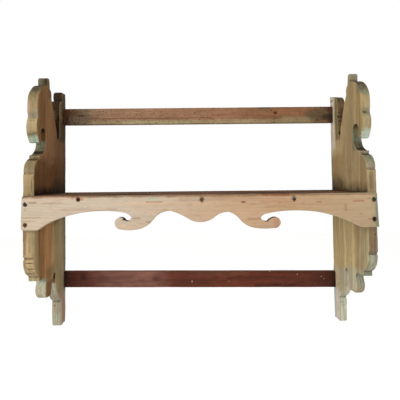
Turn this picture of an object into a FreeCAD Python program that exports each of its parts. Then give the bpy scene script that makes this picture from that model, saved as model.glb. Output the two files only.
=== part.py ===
"""A hand-made wooden wall plate rack: two scrolled side boards, a shelf, a wavy apron, two rails.

The row's frame has its origin at the middle of the shelf's rear edge. +Y points into the wall,
+X to the right and +Z up, so the rack stands out from the wall towards -Y. Sizes are millimetres.
"""
import FreeCAD, Part
import os

Vector = FreeCAD.Vector

# The frame of boards
CLEAR_WIDTH = 600.0        # between the inner faces of the side boards
LEFT_BOARD_THICKNESS = 20.5
RIGHT_BOARD_THICKNESS = 17.5
SIDE_DEPTH = 152.0         # from the wall to the front edge of a side board
SIDE_RISE = 235.0          # from the shelf's top to the top of the front scroll
SIDE_DROP = 284.0          # from the shelf's top to the end of the foot
LEFT_BOARD_DROP = 3.0      # how much lower the left board was fixed than the right one
SHELF_THICKNESS = 18.0

# The break that took the top off the right board's rear prong, down from the front scroll's top
BREAK_DOWN_AT_WALL = 24.0
BREAK_DOWN_IN_FRONT = 32.0
BREAK_REACH = 24.0         # how far from the wall the break ends
SPARE = 1.0                # how far a cut goes past the faces that it opens

# The apron
APRON_THICKNESS = 12.0
APRON_LEFT_SETBACK = 2.0   # how far its ends stop short of the side boards' outer faces
APRON_RIGHT_SETBACK = 3.5
APRON_END_HEIGHT = 61.0
APRON_LEFT_SLANT = 1.0     # how much further out the foot of an end is than its top
APRON_RIGHT_SLANT = 2.6
APRON_CORNER_ROUND = 4.0
APRON_LEFT_FOOT = 29.0     # from the apron's end to where its arch starts
APRON_RIGHT_FOOT = 26.0
APRON_LEFT_HOOK = 137.0    # from the middle to where the arch meets the hook
APRON_RIGHT_HOOK = 116.0
APRON_SCREW_FROM_LEFT = 83.0     # from the shelf's ends to the outer screws into it
APRON_SCREW_FROM_RIGHT = 136.0
APRON_SCREW_OFF_MIDDLE = 1.0
APRON_SCREW_LEFT_RISE = 2.0      # how far the left one is above the shelf's middle
LEFT_SCREWS_DOWN = (15.0, 51.0)  # the end screws, down from the shelf's top
RIGHT_SCREWS_DOWN = (12.0, 46.5)
RIGHT_SCREWS_OFF_MIDDLE = 3.5    # from the middle of the board's edge towards its inner face

# The rails at the back, with their heights above or below the shelf's top
TOP_RAIL_THICKNESS = 14.0
TOP_RAIL_HEIGHT = 35.5
TOP_RAIL_UNDERSIDE = 150.5
BOTTOM_RAIL_THICKNESS = 10.0
BOTTOM_RAIL_HEIGHT = 35.0
BOTTOM_RAIL_TOP = -177.0
BOTTOM_RAIL_TILT = 6.0     # how much lower its right end was fixed than its left one

# The softened front edges of the rails
RAIL_EDGE_ROUND = 0.8

# Wood screws with a countersunk head and a cross slot
HEAD_RADIUS = 3.8
HEAD_DEPTH = 2.8
HEAD_RIM = 0.4
HEAD_SINK = 0.5            # how far a head lies below the wood's face
SHANK_RADIUS = 1.9
POINT_LENGTH = 6.0
SLOT_LENGTH = 4.4
SLOT_WIDTH = 0.9
SLOT_DEPTH = 1.3
SCREW_CLEARANCE = 0.1
APRON_SCREW_LENGTH = 38.0
SHELF_SCREW_LENGTH = 50.0
RAIL_SCREW_LENGTH = 45.0
SHELF_SCREW_FROM_FRONT = 42.0
SHELF_SCREW_FROM_WALL = 38.0

# The keyhole hanger plates in the rear edges of the side boards
HANGER_WIDTH = 14.0
HANGER_LENGTH = 46.0
HANGER_THICKNESS = 2.0
HANGER_CLEARANCE = 0.1
KEYHOLE_RADIUS = 4.5
KEYHOLE_SLOT_WIDTH = 4.6
KEYHOLE_SLOT_RISE = 9.0
KEYHOLE_HEIGHT = 100.0     # keyhole's centre above the shelf's top
HANGER_POCKET_DEPTH = 12.0
HANGER_POCKET_MARGIN = 1.0
HANGER_SCREW_RADIUS = 1.5
HANGER_SCREW_HEAD_RADIUS = 2.6
HANGER_SCREW_HEAD_DEPTH = 1.6
HANGER_SCREW_LENGTH = 16.0
HANGER_SCREW_POINT = 3.0
HANGER_SCREW_FROM_END = 5.0

# What follows from them
INNER_X = CLEAR_WIDTH / 2
SHELF_TOP = SHELF_THICKNESS / 2
FRONT_EDGE = -SIDE_DEPTH
APRON_FACE = FRONT_EDGE - APRON_THICKNESS
LEFT, RIGHT = -1, 1
THICKNESS = {LEFT: LEFT_BOARD_THICKNESS, RIGHT: RIGHT_BOARD_THICKNESS}
OUTER_X = {side: side * (INNER_X + THICKNESS[side]) for side in THICKNESS}
BOARD_MIDDLE_X = {side: side * (INNER_X + THICKNESS[side] / 2) for side in THICKNESS}


class Outline:
    """A closed outline of straight lines and three-point arcs, drawn in one plane.

    place turns a pair of plane coordinates into a point in space.
    """

    def __init__(self, place, start):
        self.place = place
        self.at = start
        self.edges = []

    def line(self, *points):
        for point in points:
            self.edges.append(Part.LineSegment(self.place(self.at), self.place(point)).toShape())
            self.at = point

    def arc(self, middle, end):
        curve = Part.Arc(self.place(self.at), self.place(middle), self.place(end))
        self.edges.append(curve.toShape())
        self.at = end

    def bow(self, end, rise):
        """An arc to end that rises by rise to the left of its chord."""
        run = Vector(*end) - Vector(*self.at)
        left = Vector(-run.y, run.x).normalize()
        middle = Vector(*self.at) + run / 2 + left * rise
        self.arc((middle.x, middle.y), end)

    def board(self, thickness):
        """The solid between the closed outline and its copy shifted by the vector thickness."""
        return Part.Face(Part.Wire(self.edges)).extrude(thickness)


def box(low, high):
    size = high - low
    return Part.makeBox(size.x, size.y, size.z, low)


def side_outline(place):
    """A side board's outline as (forward from the wall, height above the shelf's top).

    Each group of points is measured from the edges that its feature belongs to, so a deeper or
    taller board keeps its scrollwork and grows in its plain stretches.
    """
    def prong(forward, down):
        return forward, SIDE_RISE - down

    def scroll(back, down):
        return SIDE_DEPTH - back, SIDE_RISE - down

    def tail(back, up):
        return SIDE_DEPTH - back, up - SIDE_DROP

    def foot(forward, up):
        return forward, up - SIDE_DROP

    outline = Outline(place, foot(0, 4))
    # Rear prong with its small head, a notch under it and a round shoulder
    outline.line(prong(0, 13))
    outline.arc(prong(1.2, 10.2), prong(4, 9))
    outline.line(prong(14, 9))
    outline.arc(prong(18.6, 11), prong(20.5, 16))
    outline.arc(prong(20.5, 24.5), prong(18, 31))
    outline.arc(prong(30, 33.5), prong(36, 44))
    outline.line(prong(36.5, 74), prong(33, 76), prong(36.5, 81))
    # Slot between the prong and the front scroll
    outline.arc(prong(36, 92), prong(37.5, 109))
    outline.arc(prong(44.5, 117), prong(48.5, 110))
    outline.bow(scroll(75, 38), 1.6)
    # Small bump and round knob at the top of the scroll
    outline.arc(scroll(74.5, 27), scroll(67, 20.5))
    outline.line(scroll(66.5, 7))
    outline.arc(scroll(65, 1.8), scroll(61.5, 0))
    outline.arc(scroll(58, 2), scroll(57, 8))
    outline.line(scroll(58, 17))
    # Shoulder, a shallow dent in the front edge, and the lobe that hooks under
    outline.arc(scroll(28, 30.5), scroll(14.5, 54))
    outline.line(scroll(14, 78))
    outline.arc(scroll(15.8, 85), scroll(12.3, 92))
    outline.arc(scroll(11.5, 111), scroll(18.5, 129.5))
    outline.arc(scroll(23.5, 135), scroll(29, 130))
    outline.line(scroll(29, 112))
    outline.arc(scroll(38, 105), scroll(48, 112))
    outline.line(scroll(49.5, 129))
    # Cove, fillet and ovolo down to the plain front edge
    outline.arc(scroll(41.5, 148.5), scroll(22, 157.5))
    outline.line(scroll(22, 163.5), scroll(19, 164))
    outline.arc(scroll(7, 172), scroll(1.5, 190))
    outline.line(scroll(2.5, 192), scroll(0, 194))
    # Lower lobe, a square step, and the hanging knob
    outline.line(tail(0, 176.5), tail(4, 174), tail(1, 170))
    outline.arc(tail(4.5, 153), tail(19, 138))
    outline.line(tail(21.5, 136.5), tail(22, 127.5), tail(47, 126.5))
    outline.arc(tail(52, 123), tail(52.5, 117))
    outline.line(tail(50, 110))
    outline.arc(tail(49.5, 94), tail(57, 85.5))
    outline.arc(tail(66, 83.5), tail(75, 86))
    # Gap behind the knob, and the foot
    outline.arc(tail(79, 103), tail(84, 117))
    outline.arc(tail(90.5, 124.5), tail(97, 116))
    outline.bow(foot(27, 57), 10)
    outline.line(foot(22.5, 53), foot(25, 46), foot(24.5, 4))
    outline.arc(foot(23.3, 1.2), foot(20.5, 0))
    outline.line(foot(4, 0))
    outline.arc(foot(1.2, 1.2), foot(0, 4))
    return outline


def apron_outline(place):
    """The apron's outline as (to the right of the middle, height above the shelf's top)."""
    left_end = OUTER_X[LEFT] + APRON_LEFT_SETBACK
    right_end = OUTER_X[RIGHT] - APRON_RIGHT_SETBACK
    bottom = -APRON_END_HEIGHT
    corner = APRON_CORNER_ROUND

    def left(inward, height):
        return left_end + inward, height

    def right(inward, height):
        return right_end - inward, height

    def left_arch(share, height):
        foot, hook = left_end + APRON_LEFT_FOOT, -APRON_LEFT_HOOK
        return foot + (hook - foot) * share, height

    def right_arch(share, height):
        foot, hook = right_end - APRON_RIGHT_FOOT, APRON_RIGHT_HOOK
        return foot + (hook - foot) * share, height

    outline = Outline(place, left(0, bottom + corner))
    outline.line(left(APRON_LEFT_SLANT, -corner))
    outline.arc(left(APRON_LEFT_SLANT + corner * 0.3, -corner * 0.3), left(APRON_LEFT_SLANT + corner, 0))
    outline.line(right(APRON_RIGHT_SLANT, 0), right(0, bottom))
    # Right end foot and the long shallow arch
    outline.line(right_arch(0, bottom))
    outline.arc(right_arch(0.045, -59.5), right_arch(0.085, -56.3))
    outline.arc(right_arch(0.23, -45.2), right_arch(0.43, -35))
    outline.arc(right_arch(0.56, -31.5), right_arch(0.72, -30.4))
    # Right hook: throat, mouth with a nick in it, lobe
    outline.arc(right_arch(0.88, -31.8), right_arch(1, -35.2))
    outline.arc((108, -38.6), (104.5, -42.7))
    outline.arc((109.5, -47.2), (117, -48.8))
    outline.arc((122, -44), (129, -41.3))
    outline.arc((137.3, -44.3), (140.3, -51.4))
    outline.arc((137, -58), (127, -61))
    outline.arc((112, -61.8), (97, -60.6))
    outline.arc((83, -57), (71.5, -49.5))
    # Small hollow, and the middle swell
    outline.arc((61.5, -38.8), (48.5, -31.7))
    outline.arc((34, -34.2), (20, -43.2))
    outline.arc((0, -49.2), (-21, -44.6))
    outline.arc((-37, -35.4), (-54, -29))
    outline.arc((-69, -31.6), (-83, -41.5))
    # Left hook: lobe, mouth with a deeper nick, throat
    outline.arc((-93, -52.2), (-105, -59))
    outline.arc((-124, -62.3), (-143.5, -60.5))
    outline.arc((-151.5, -55.5), (-153.3, -48))
    outline.arc((-149.3, -41.4), (-141.5, -38.9))
    outline.arc((-137, -40.6), (-133.5, -45))
    outline.arc((-127, -43.8), (-123.6, -39.5))
    outline.arc((-127.5, -35.3), left_arch(1, -31))
    # Left arch and end foot
    outline.arc(left_arch(0.88, -28.4), left_arch(0.73, -27.9))
    outline.arc(left_arch(0.59, -29.2), left_arch(0.44, -33))
    outline.arc(left_arch(0.25, -40.9), left_arch(0.095, -51.2))
    outline.arc(left_arch(0.045, -56.2), left_arch(0, bottom))
    outline.line(left(corner, bottom))
    outline.arc(left(corner * 0.3, bottom + corner * 0.3), left(0, bottom + corner))
    return outline


def screw_profile(head_radius, head_depth, rim, shank_radius, length, point):
    """Half section of a countersunk screw as (radius, depth under the head's top)."""
    return [(0, 0), (head_radius, 0), (head_radius, rim), (shank_radius, head_depth),
            (shank_radius, length - point), (0, length)]


def revolved(profile, head, along):
    """Turns a half section about its axis; the head's top is at head, the axis along along."""
    points = [Vector(radius, 0, depth) for radius, depth in profile]
    face = Part.Face(Part.makePolygon(points + points[:1]))
    solid = face.revolve(Vector(), Vector(0, 0, 1), 360)
    turn = FreeCAD.Rotation(Vector(0, 0, 1), along)
    solid.Placement = FreeCAD.Placement(head, turn)
    return solid


def cross_slot(head, along, length, width, depth):
    """The cross-shaped slot in a screw's head."""
    bars = []
    for size_x, size_y in ((length, width), (width, length)):
        bars.append(Part.makeBox(size_x, size_y, depth * 2, Vector(-size_x / 2, -size_y / 2, -depth)))
    slot = bars[0].fuse(bars[1])
    slot.Placement = FreeCAD.Placement(head, FreeCAD.Rotation(Vector(0, 0, 1), along))
    return slot


class Screw:
    """A wood screw: mouth is a point on the wood's face, along the way it is driven."""

    def __init__(self, mouth, along, length):
        self.mouth = mouth
        self.along = along
        self.length = length
        self.head = mouth + along * HEAD_SINK

    def solid(self):
        profile = screw_profile(HEAD_RADIUS, HEAD_DEPTH, HEAD_RIM, SHANK_RADIUS, self.length, POINT_LENGTH)
        body = revolved(profile, self.head, self.along)
        return body.cut(cross_slot(self.head, self.along, SLOT_LENGTH, SLOT_WIDTH, SLOT_DEPTH))

    def hole(self):
        """The countersunk hole that takes the screw, open at the wood's face."""
        gap = SCREW_CLEARANCE
        profile = screw_profile(HEAD_RADIUS + gap, HEAD_DEPTH + HEAD_SINK + gap,
                                HEAD_RIM + HEAD_SINK + gap, SHANK_RADIUS + gap,
                                self.length + HEAD_SINK + gap, POINT_LENGTH)
        return revolved(profile, self.mouth, self.along)


class HangerScrew:
    """A small countersunk screw whose head lies flush in a hanger plate."""

    def __init__(self, mouth):
        self.mouth = mouth
        self.along = Vector(0, -1, 0)

    def solid(self):
        profile = screw_profile(HANGER_SCREW_HEAD_RADIUS, HANGER_SCREW_HEAD_DEPTH, SCREW_CLEARANCE,
                                HANGER_SCREW_RADIUS, HANGER_SCREW_LENGTH, HANGER_SCREW_POINT)
        body = revolved(profile, self.mouth, self.along)
        slot_share = HANGER_SCREW_HEAD_RADIUS / HEAD_RADIUS
        slot = cross_slot(self.mouth, self.along, SLOT_LENGTH * slot_share,
                          SLOT_WIDTH * slot_share, SLOT_DEPTH * slot_share)
        return body.cut(slot)

    def hole(self):
        gap = SCREW_CLEARANCE
        profile = screw_profile(HANGER_SCREW_HEAD_RADIUS + gap, HANGER_SCREW_HEAD_DEPTH + gap,
                                2 * gap, HANGER_SCREW_RADIUS + gap,
                                HANGER_SCREW_LENGTH + gap, HANGER_SCREW_POINT)
        return revolved(profile, self.mouth, self.along)


def apron_screws():
    """The screws through the apron: two into each side board's edge, three into the shelf's."""
    right_x = BOARD_MIDDLE_X[RIGHT] - RIGHT_SCREWS_OFF_MIDDLE
    places = {
        "apron_screw_left_upper": (BOARD_MIDDLE_X[LEFT], SHELF_TOP - LEFT_SCREWS_DOWN[0]),
        "apron_screw_left_lower": (BOARD_MIDDLE_X[LEFT], SHELF_TOP - LEFT_SCREWS_DOWN[1]),
        "apron_screw_shelf_left": (APRON_SCREW_FROM_LEFT - INNER_X, APRON_SCREW_LEFT_RISE),
        "apron_screw_shelf_middle": (APRON_SCREW_OFF_MIDDLE, 0),
        "apron_screw_shelf_right": (INNER_X - APRON_SCREW_FROM_RIGHT, 0),
        "apron_screw_right_upper": (right_x, SHELF_TOP - RIGHT_SCREWS_DOWN[0]),
        "apron_screw_right_lower": (right_x, SHELF_TOP - RIGHT_SCREWS_DOWN[1]),
    }
    inward = Vector(0, 1, 0)
    return {name: Screw(Vector(x, APRON_FACE, z), inward, APRON_SCREW_LENGTH)
            for name, (x, z) in places.items()}


def side_screws(side, word):
    """The screws through one side board into the ends of the shelf and of both rails."""
    inward = Vector(-side, 0, 0)
    top_rail_middle = SHELF_TOP + TOP_RAIL_UNDERSIDE + TOP_RAIL_HEIGHT / 2
    bottom_rail_middle = (SHELF_TOP + BOTTOM_RAIL_TOP - BOTTOM_RAIL_HEIGHT / 2
                          - side * BOTTOM_RAIL_TILT / 2)
    places = {
        f"shelf_screw_{word}_front": (FRONT_EDGE + SHELF_SCREW_FROM_FRONT, 0, SHELF_SCREW_LENGTH),
        f"shelf_screw_{word}_rear": (-SHELF_SCREW_FROM_WALL, 0, SHELF_SCREW_LENGTH),
        f"rail_screw_top_{word}": (-TOP_RAIL_THICKNESS / 2, top_rail_middle, RAIL_SCREW_LENGTH),
        f"rail_screw_bottom_{word}": (-BOTTOM_RAIL_THICKNESS / 2, bottom_rail_middle, RAIL_SCREW_LENGTH),
    }
    return {name: Screw(Vector(OUTER_X[side], y, z), inward, length)
            for name, (y, z, length) in places.items()}


def hanger_middle(side):
    """The middle of a hanger plate's outer face, on the rear edge of a side board."""
    return Vector(BOARD_MIDDLE_X[side], 0, SHELF_TOP + KEYHOLE_HEIGHT)


def hanger_screws(side, word):
    reach = HANGER_LENGTH / 2 - HANGER_SCREW_FROM_END
    middle = hanger_middle(side)
    return {
        f"hanger_screw_{word}_upper": HangerScrew(middle + Vector(0, 0, reach)),
        f"hanger_screw_{word}_lower": HangerScrew(middle - Vector(0, 0, reach)),
    }


def hanger_blank(side, growth, thickness):
    """A plate with round ends, grown on its outline, thickness deep from the wall inwards."""
    half_width = HANGER_WIDTH / 2 + growth
    straight = HANGER_LENGTH / 2 - HANGER_WIDTH / 2
    middle = hanger_middle(side)
    bar = box(middle + Vector(-half_width, -thickness, -straight),
              middle + Vector(half_width, 0, straight))
    for end in (-straight, straight):
        centre = middle + Vector(0, 0, end)
        bar = bar.fuse(Part.makeCylinder(half_width, thickness, centre, Vector(0, -1, 0)))
    return bar.removeSplitter()


def keyhole(side):
    """The keyhole's shape: a round hole that takes a screw's head and a slot above it."""
    middle = hanger_middle(side)
    inward = Vector(0, -1, 0)
    half_slot = KEYHOLE_SLOT_WIDTH / 2
    depth = HANGER_THICKNESS
    hole = Part.makeCylinder(KEYHOLE_RADIUS, depth, middle, inward)
    slot = box(middle + Vector(-half_slot, -depth, 0),
               middle + Vector(half_slot, 0, KEYHOLE_SLOT_RISE))
    top = Part.makeCylinder(half_slot, depth, middle + Vector(0, 0, KEYHOLE_SLOT_RISE), inward)
    return hole.fuse([slot, top]).removeSplitter()


def hanger_pocket(side):
    """The hollow behind a hanger plate, long enough for the wall screw's head to slide up."""
    radius = KEYHOLE_RADIUS + HANGER_POCKET_MARGIN
    middle = hanger_middle(side)
    inward = Vector(0, -1, 0)
    top = middle + Vector(0, 0, KEYHOLE_SLOT_RISE)
    lower = Part.makeCylinder(radius, HANGER_POCKET_DEPTH, middle, inward)
    upper = Part.makeCylinder(radius, HANGER_POCKET_DEPTH, top, inward)
    between = box(middle + Vector(-radius, -HANGER_POCKET_DEPTH, 0), top + Vector(radius, 0, 0))
    return lower.fuse([upper, between]).removeSplitter()


def hanger_plate(side, word):
    plate = hanger_blank(side, 0, HANGER_THICKNESS).cut(keyhole(side))
    return plate.cut([screw.hole() for screw in hanger_screws(side, word).values()])


def broken_tip():
    """What has split off the top of the right board's rear prong, down to a slanting break."""
    inner = INNER_X - SPARE
    top = SHELF_TOP + SIDE_RISE + SPARE
    split_rear = Vector(inner, SPARE, top - SPARE - BREAK_DOWN_AT_WALL)
    split_front = Vector(inner, -BREAK_REACH, top - SPARE - BREAK_DOWN_IN_FRONT)
    corners = [split_rear, split_front, Vector(inner, -BREAK_REACH, top),
               Vector(inner, SPARE, top), split_rear]
    return Part.Face(Part.makePolygon(corners)).extrude(Vector(RIGHT_BOARD_THICKNESS + 2 * SPARE, 0, 0))


def side_board(side, word, drop, screws):
    """One scrolled side board, with the holes for its screws and its hanger plate."""
    def place(point):
        forward, height = point
        return Vector(side * INNER_X, -forward, SHELF_TOP + height - drop)

    board = side_outline(place).board(Vector(side * THICKNESS[side], 0, 0))
    cuts = [screw.hole() for screw in screws]
    cuts += [screw.hole() for screw in hanger_screws(side, word).values()]
    cuts.append(hanger_blank(side, HANGER_CLEARANCE, HANGER_THICKNESS + HANGER_CLEARANCE))
    cuts.append(hanger_pocket(side))
    if side == RIGHT:
        cuts.append(broken_tip())
    return board.cut(cuts)


def shelf_board(screws):
    shelf = box(Vector(-INNER_X, FRONT_EDGE, -SHELF_TOP), Vector(INNER_X, 0, SHELF_TOP))
    return shelf.cut([screw.hole() for screw in screws])


def front_apron(screws):
    def place(point):
        return Vector(point[0], FRONT_EDGE, SHELF_TOP + point[1])

    apron = apron_outline(place).board(Vector(0, -APRON_THICKNESS, 0))
    return apron.cut([screw.hole() for screw in screws])


def back_rail(underside, height, thickness, tilt, screws):
    """A plain rail between the side boards, flush with their rear edges.

    underside is at the rail's middle, and tilt is how much lower its right end lies.
    """
    ends = [Vector(-INNER_X, 0, underside + tilt / 2), Vector(INNER_X, 0, underside - tilt / 2)]
    up = Vector(0, 0, height)
    corners = [ends[0], ends[1], ends[1] + up, ends[0] + up, ends[0]]
    rail = Part.Face(Part.makePolygon(corners)).extrude(Vector(0, -thickness, 0))

    def runs_along_front(edge):
        span = edge.BoundBox
        return span.XLength > CLEAR_WIDTH / 2 and span.YMax < -thickness / 2

    rail = rail.makeFillet(RAIL_EDGE_ROUND, [edge for edge in rail.Edges if runs_along_front(edge)])
    return rail.cut([screw.hole() for screw in screws])


def build():
    """Every node's solid by its name."""
    parts = {}
    front_screws = apron_screws()
    left_screws = side_screws(LEFT, "left")
    right_screws = side_screws(RIGHT, "right")

    def picked(screws, word):
        return [screw for name, screw in screws.items() if word in name]

    side_board_screws = {LEFT: picked(front_screws, "screw_left"), RIGHT: picked(front_screws, "screw_right")}
    into_shelf = picked(front_screws, "screw_shelf")
    into_ends = {**left_screws, **right_screws}

    parts["left_side_board"] = side_board(
        LEFT, "left", LEFT_BOARD_DROP, [*left_screws.values(), *side_board_screws[LEFT]])
    parts["right_side_board"] = side_board(
        RIGHT, "right", 0, [*right_screws.values(), *side_board_screws[RIGHT]])
    parts["shelf_board"] = shelf_board(into_shelf + picked(into_ends, "shelf_screw"))
    parts["front_apron"] = front_apron(front_screws.values())
    parts["top_back_rail"] = back_rail(
        SHELF_TOP + TOP_RAIL_UNDERSIDE, TOP_RAIL_HEIGHT, TOP_RAIL_THICKNESS, 0,
        picked(into_ends, "rail_screw_top"))
    parts["bottom_back_rail"] = back_rail(
        SHELF_TOP + BOTTOM_RAIL_TOP - BOTTOM_RAIL_HEIGHT, BOTTOM_RAIL_HEIGHT, BOTTOM_RAIL_THICKNESS,
        BOTTOM_RAIL_TILT, picked(into_ends, "rail_screw_bottom"))

    screws = {**front_screws, **into_ends}
    for side, word in ((LEFT, "left"), (RIGHT, "right")):
        parts[f"{word}_hanger_plate"] = hanger_plate(side, word)
        screws.update(hanger_screws(side, word))
    for name, screw in screws.items():
        parts[name] = screw.solid()
    return parts


os.makedirs("parts", exist_ok=True)
for node, solid in build().items():
    shape = solid.Solids[0] if len(solid.Solids) == 1 else solid
    print(f"{node}: {len(solid.Solids)} solid, valid {shape.isValid()}, volume {shape.Volume:.0f} mm3")
    shape.exportStep(f"parts/{node}.step")
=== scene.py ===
"""The looks of a hand-made wall plate rack: old scrolled side boards, a sanded pine apron,
a stained shelf and two rails of different woods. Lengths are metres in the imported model's frame:
+X to the right, +Y into the wall, +Z up, with the origin at the middle of the shelf's rear edge.
"""
import math
import bmesh
import bpy
import numpy as np
from mathutils import Matrix, Vector
from mathutils.geometry import delaunay_2d_cdt


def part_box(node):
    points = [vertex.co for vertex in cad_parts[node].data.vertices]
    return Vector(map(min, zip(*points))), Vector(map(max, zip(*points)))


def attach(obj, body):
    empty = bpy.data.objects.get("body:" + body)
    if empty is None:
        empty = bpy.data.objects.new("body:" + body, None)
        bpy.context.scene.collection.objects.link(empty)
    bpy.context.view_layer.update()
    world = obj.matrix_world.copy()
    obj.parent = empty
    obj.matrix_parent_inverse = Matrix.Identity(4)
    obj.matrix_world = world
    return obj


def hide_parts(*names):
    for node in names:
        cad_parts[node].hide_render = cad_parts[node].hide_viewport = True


MM = 0.001
X, Y, Z = 0, 1, 2

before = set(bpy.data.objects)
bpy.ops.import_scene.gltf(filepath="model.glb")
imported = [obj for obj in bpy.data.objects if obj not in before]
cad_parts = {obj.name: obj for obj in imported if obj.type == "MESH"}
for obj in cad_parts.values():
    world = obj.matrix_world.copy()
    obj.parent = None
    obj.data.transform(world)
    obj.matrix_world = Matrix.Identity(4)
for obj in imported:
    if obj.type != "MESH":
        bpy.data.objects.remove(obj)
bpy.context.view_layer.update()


# ---------------------------------------------------------------- measures

OUTLINE_STEP = 1.0 * MM        # between points along a board's sawn edge
OUTLINE_SOFTNESS = 0.9 * MM    # how far the saw's corners have worn round
SHARPEST_ARRIS = 0.3 * MM
SAW_WAVES = 0.06 * MM          # long and short unevenness of a sawn edge
SAW_MARKS = 0.025 * MM
EDGE_BOWL = 0.05 * MM          # how far a sawn edge is hollow across
HOLLOW_RADIUS = 4.0 * MM       # an inner corner of this radius or less is darkened most, by grime and painted shade
ARRIS_STEPS = 4                # faces across a worn arris
EDGE_STEPS = 6                 # faces across the rest of a sawn edge
BAR_RINGS = 220                # rings of points along a planed bar
OVERHANG = 3 * MM              # how far a cutter stands out of the wood
SCREW_GAP = 0.1 * MM
SEAT_RIM_DEPTH = 0.6 * MM
COUNTERSINK_DEPTH = 3.4 * MM
PILOT_DEPTH = 8 * MM
NAIL_RADIUS = 0.9 * MM
NAIL_DEPTH = 5.0 * MM
POCKET_DEPTH = 2.1 * MM        # of the recess that a hanger plate lies in
KEYHOLE_POCKET_DEPTH = 12 * MM
KEYHOLE_POCKET_RADIUS = 5.5 * MM
KEYHOLE_RISE = 9 * MM


# ---------------------------------------------------------------- surfaces

def as_points(mesh):
    """A mesh's vertices as an array with one row for each."""
    flat = np.empty(len(mesh.vertices) * 3)
    mesh.vertices.foreach_get("co", flat)
    return flat.reshape(-1, 3)


def board_outline(node, axis):
    """The outline of a packed board's flat face across axis, as an ordered loop of 2-D points.

    Of the triangles in the board's highest plane across axis, an outline edge belongs to one
    alone. Such edges chain into closed loops: the longest is the outline, the others are holes.
    """
    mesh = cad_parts[node].data
    mesh.calc_loop_triangles()
    corners = np.empty(len(mesh.loop_triangles) * 3, np.int64)
    mesh.loop_triangles.foreach_get("vertices", corners)
    points, merged = np.unique(np.round(as_points(mesh), 7), axis=0, return_inverse=True)
    triangles = merged.ravel()[corners].reshape(-1, 3)
    level = points[:, axis].max()
    lying = triangles[np.all(np.abs(points[triangles][:, :, axis] - level) < 1e-6, axis=1)]
    edges = np.vstack([lying[:, [0, 1]], lying[:, [1, 2]], lying[:, [2, 0]]])
    _, seen_as, count = np.unique(np.sort(edges, axis=1), axis=0,
                                  return_index=True, return_counts=True)
    following = dict(edges[seen_as[count == 1]].tolist())
    loops = []
    while following:
        start, at = following.popitem()
        loop = [start]
        while at != start:
            loop.append(at)
            at = following.pop(at)
        loops.append(np.delete(points[loop], axis, axis=1))
    return max(loops, key=lambda loop: steps_round(loop).sum())


def steps_round(loop):
    """The length of each step round a closed loop."""
    return np.linalg.norm(np.roll(loop, -1, axis=0) - loop, axis=1)


def evenly_spaced(loop, step):
    """A closed loop's points by equal runs along it, about step apart."""
    closed = np.vstack([loop, loop[:1]])
    run = np.append(0, np.cumsum(steps_round(loop)))
    at = np.linspace(0, run[-1], round(run[-1] / step), endpoint=False)
    return np.column_stack([np.interp(at, run, closed[:, k]) for k in (0, 1)])


def blurred(values, reach):
    """Values round a closed loop, smoothed by a bell curve whose width is reach points."""
    waves = np.fft.rfftfreq(len(values)) * 2 * np.pi
    kept = np.exp(-(waves * reach) ** 2 / 2)
    spectrum = np.fft.rfft(values, axis=0)
    return np.fft.irfft((spectrum.T * kept).T, n=len(values), axis=0)


def wander(count, reach, seed):
    """Smooth random values round a closed loop, with a spread of one: blurred white noise."""
    noise = blurred(np.random.default_rng(seed).standard_normal(count), reach)
    return noise / noise.std()


def crossed(loop, reach=16):
    """True at the points of a closed loop where it crosses itself within reach points."""
    start, end = loop, np.roll(loop, -1, axis=0)
    found = np.zeros(len(loop), bool)
    for ahead in range(2, reach):
        other, other_end = np.roll(start, -ahead, axis=0), np.roll(end, -ahead, axis=0)
        across = side_of(start, end, other) * side_of(start, end, other_end) <= 0
        back = side_of(other, other_end, start) * side_of(other, other_end, end) <= 0
        for step in range(ahead + 2):
            found |= np.roll(across & back, step)
    return found


def side_of(start, end, point):
    """Positive where the point lies to the left of the line from start to end."""
    run, off = end - start, point - start
    return run[:, 0] * off[:, 1] - run[:, 1] * off[:, 0]


def unfolded(loop, inward, radius):
    """The radius, shrunk near tight bends until the loop inset by it runs clear of itself."""
    forwards = np.roll(loop, -1, axis=0) - loop
    for _ in range(80):
        inset = loop + inward * radius[:, None]
        step = np.sum((np.roll(inset, -1, axis=0) - inset) * forwards, axis=1)
        folds = (step < 0.15 * np.sum(forwards * forwards, axis=1)) | crossed(inset)
        if not folds.any():
            break
        near = np.minimum(blurred(folds.astype(float), 2.5) * 1.5, 1)
        radius = np.maximum(radius * (1 - 0.3 * near), 0.05 * MM)
    return radius


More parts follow.
